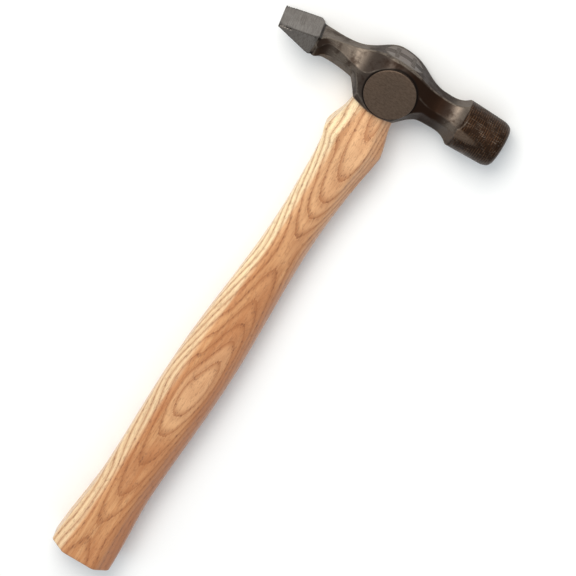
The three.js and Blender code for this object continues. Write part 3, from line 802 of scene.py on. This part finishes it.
def makeAsh(look):
    material, tree, shader = startMaterial("ashWood")
    place, x, y, z = positionIn(tree)
    fibre = grainOf(tree, place, *look["fibre"])
    streak = grainOf(tree, place, *look["streak"])
    fleck = grainOf(tree, place, *look["fleck"])
    ragged = calc(tree, "MULTIPLY", calc(tree, "SUBTRACT", fibre, 0.5), 0.3)
    count = calc(tree, "ADD", stored(tree, "growth"), ragged)
    phase = calc(tree, "FRACT", calc(tree, "ADD", count, 20.0))
    early = calc(tree, "MULTIPLY", rise(tree, phase, 0.0, 0.06), rise(tree, phase, 0.1, 0.5, 1, 0))
    line = calc(tree, "MULTIPLY", rise(tree, phase, 0.0, 0.05), rise(tree, phase, 0.07, 0.18, 1, 0))
    late = rise(tree, phase, 0.6, 0.98)
    sway = calc(tree, "MULTIPLY", calc(tree, "SUBTRACT", streak, 0.5), 0.25)
    side = calc(tree, "ADD", stored(tree, "side"), sway)
    colour = mixColour(tree, rise(tree, streak, 0.34, 0.66), look["late"], look["pale"])
    tone = rise(tree, grainOf(tree, place, *look["tone"]), 0.42, 0.62, 0, 0.55)
    colour = mixColour(tree, tone, colour, look["shade"])
    # Pale sapwood down the peen's side, lightened further as painted sheen where that side faces
    # the key lamp
    sapwoodAndSheen = calc(tree, "MULTIPLY", rise(tree, side, *look["sapEdge"]),
                   rise(tree, y, *look["sapAlong"]))
    crowned = rise(tree, stored(tree, "growth"), 3.4, 5.3, 0, 0.45)
    colour = mixColour(tree, crowned, colour, look["crown"])
    colour = mixColour(tree, rise(tree, y, -115, -35, 0, 0.5), colour, look["crown"])
    colour = mixColour(tree, sapwoodAndSheen, colour, look["sapAndSheen"])
    # Painted shade down the side away from the key lamp
    shaded = calc(tree, "MULTIPLY", rise(tree, side, *look["shadeEdge"]),
                  rise(tree, y, *look["shadeAlong"]))
    colour = mixColour(tree, shaded, colour, look["shade"])
    # Painted shade: a narrow dark strip along the far edge, at the silhouette on the poll's side
    farEdgeShade = calc(tree, "MULTIPLY", rise(tree, side, 0.72, 0.98), rise(tree, z, 0, 5, 0, 0.45))
    colour = mixColour(tree, farEdgeShade, colour, look["early"])
    colour = mixColour(tree, calc(tree, "MULTIPLY", late, 0.3), colour, look["early"])
    colour = mixColour(tree, calc(tree, "MULTIPLY", early, 0.58), colour, look["early"])
    colour = mixColour(tree, calc(tree, "MULTIPLY", line, 0.38), colour, look["early"])
    colour = mixColour(tree, rise(tree, fibre, 0.48, 0.7, 0, 0.34), colour, look["early"])
    porous = calc(tree, "ADD", calc(tree, "MULTIPLY", early, 0.55), 0.45)
    pores = calc(tree, "MULTIPLY", rise(tree, fleck, 0.53, 0.64), porous)
    colour = mixColour(tree, calc(tree, "MULTIPLY", pores, 0.62), colour, look["pore"])
    inEye = rise(tree, y, 6, 10)
    atButt = rise(tree, y, buttY + 0.5, buttY + 0.2, 0, 0.4)
    colour = mixColour(tree, atButt, colour, look["endGrain"])
    # The wood end in the eye is dark, and darker towards the poll as painted shade
    darkAndShade = mixColour(tree, rise(tree, x, 0, 7), look["eyeDirt"], look["eyeShade"])
    colour = mixColour(tree, calc(tree, "MULTIPLY", inEye, 0.97), colour, darkAndShade)
    plug(tree, shader.inputs["Base Color"], colour)
    low, high = look["roughness"]
    rough = calc(tree, "ADD", streak, pores)
    plug(tree, shader.inputs["Roughness"], rise(tree, rough, 0.3, 1.2, low, high))
    shader.inputs["Coat Weight"].default_value = 0.15
    shader.inputs["Coat Roughness"].default_value = 0.3
    height = calc(tree, "SUBTRACT", calc(tree, "MULTIPLY", fibre, 0.35), pores)
    relief(tree, shader, height, 0.45, 0.06)
    return material


wedgeFinish = {
    "bright": paint(95, 86, 79),
    "dull": paint(78, 69, 62),
    "wood": paint(71, 62, 56),
    "woodDark": paint(63, 54, 48),
    "pollEndShade": paint(32, 24, 19),
    "cloud": ((1.2, 1.2, 1.2), 4, 0.6),
    "marks": ((0.2, 0.2, 2.5), 3, 0.6),
    "fibre": ((0.25, 5, 0.25), 3, 0.6),
    "shadedTowardsPoll": (0, 7),  # painted shade, along the head towards the poll
}


def makeWedgeSteel(look):
    material, tree, shader = startMaterial("wedgeSteel")
    place, x, _, _ = positionIn(tree)
    cloud = grainOf(tree, place, *look["cloud"])
    marks = grainOf(tree, place, *look["marks"])
    colour = mixColour(tree, rise(tree, cloud, 0.38, 0.62), look["dull"], look["bright"])
    # Painted shade, darker towards the poll end
    shadeNearPoll = rise(tree, x, *look["shadedTowardsPoll"], 0, 0.6)
    plug(tree, shader.inputs["Base Color"], mixColour(tree, shadeNearPoll, colour, look["pollEndShade"]))
    shader.inputs["Metallic"].default_value = 0.8
    plug(tree, shader.inputs["Roughness"], rise(tree, marks, 0.3, 0.7, 0.35, 0.6))
    relief(tree, shader, calc(tree, "ADD", marks, cloud), 0.5, 0.06)
    return material


def makeWedgeWood(look):
    material, tree, shader = startMaterial("wedgeWood")
    place, x, _, _ = positionIn(tree)
    fibre = grainOf(tree, place, *look["fibre"])
    colour = mixColour(tree, rise(tree, fibre, 0.35, 0.65), look["woodDark"], look["wood"])
    # Painted shade, darker towards the poll end
    shadeNearPoll = rise(tree, x, *look["shadedTowardsPoll"], 0, 0.8)
    plug(tree, shader.inputs["Base Color"], mixColour(tree, shadeNearPoll, colour, look["pollEndShade"]))
    plug(tree, shader.inputs["Roughness"], rise(tree, fibre, 0.3, 0.7, 0.6, 0.8))
    relief(tree, shader, fibre, 0.5, 0.08)
    return material


head.data.materials.clear()
head.data.materials.append(makeSteel(steelFinish))
handle.data.materials.clear()
handle.data.materials.append(makeAsh(ashFinish))
wedgeSteel, wedgeTimber = makeWedgeSteel(wedgeFinish), makeWedgeWood(wedgeFinish)
for piece in steelPieces:
    piece.data.materials.append(wedgeSteel)
wood.data.materials.clear()
wood.data.materials.append(wedgeTimber)
print("finishes on")


studio = {
    "floorColour": (0.92, 0.92, 0.92, 1),
    "floorHalf": 6.0,
    "floorDrop": 0.0001,  # below the hammer, in metres like the rest of the studio
    "skyColour": (0.9, 0.96, 1.0, 1),
    "skyStrength": 0.65,
    "aim": (0.0, -0.08),  # what the lamps point at, in the middle plane
    "keyFrom": (-0.5, 0.88, 1.0),
    "lampDistance": 2.2,
    "keySize": 1.25,
    "keyPower": 44.0,
    "keyColour": (1.0, 0.96, 0.9),
    "fillFrom": (-1.0, -0.2, 0.6),
    "fillSize": 2.2,
    "fillPower": 5.5,
    "fillColour": (1.0, 0.98, 0.95),
}


def makeStudio(plan):
    half = plan["floorHalf"]
    mesh = bpy.data.meshes.new("floor")
    corners = [(-half, -half), (half, -half), (half, half), (-half, half)]
    mesh.from_pydata([(a, b, -plan["floorDrop"]) for a, b in corners], [], [(0, 1, 2, 3)])
    floor = bpy.data.objects.new("floor", mesh)
    bpy.context.scene.collection.objects.link(floor)
    material, tree, shader = startMaterial("paleFloor")
    shader.inputs["Base Color"].default_value = plan["floorColour"]
    shader.inputs["Roughness"].default_value = 0.9
    shader.inputs["Specular IOR Level"].default_value = 0.1
    mesh.materials.append(material)
    world = bpy.data.worlds.new("studio")
    bpy.context.scene.world = world
    world.use_nodes = True
    back = world.node_tree.nodes["Background"]
    back.inputs["Color"].default_value = plan["skyColour"]
    back.inputs["Strength"].default_value = plan["skyStrength"]
    aim = Vector((*plan["aim"], midZ))
    for name in ("key", "fill"):
        lamp = bpy.data.lights.new(name, "AREA")
        lamp.energy, lamp.size = plan[name + "Power"], plan[name + "Size"]
        lamp.color = plan[name + "Colour"]
        holder = bpy.data.objects.new(name, lamp)
        way = Vector(plan[name + "From"]).normalized()
        holder.location = aim + way * plan["lampDistance"]
        holder.rotation_mode = "QUATERNION"
        holder.rotation_quaternion = way.to_track_quat("Z", "Y")
        bpy.context.scene.collection.objects.link(holder)
    bpy.context.scene.view_settings.view_transform = "Standard"


viewpoint = {
    "place": (-170.374, 715.698, 1619.408),  # from the middle of the eye
    "right": (0.85364826, 0.49707775, -0.15555821),
    "down": (0.51127986, -0.74272859, 0.43237384),
    "lens": 280.0,
    "sensor": 36.0,
    "clip": (0.05, 30),
}


def makeCamera(view):
    camera = bpy.data.objects.new("camera", bpy.data.cameras.new("camera"))
    bpy.context.scene.collection.objects.link(camera)
    right, up = Vector(view["right"]).normalized(), -Vector(view["down"]).normalized()
    back = right.cross(up).normalized()
    turn = Matrix((right, up, back)).transposed().to_4x4()
    place = Vector(view["place"]) * mm + Vector((0, 0, midZ))
    camera.matrix_world = Matrix.Translation(place) @ turn
    camera.data.lens, camera.data.sensor_width = view["lens"], view["sensor"]
    camera.data.clip_start, camera.data.clip_end = view["clip"]
    bpy.context.scene.camera = camera


makeStudio(studio)
makeCamera(viewpoint)
print("studio and camera set")
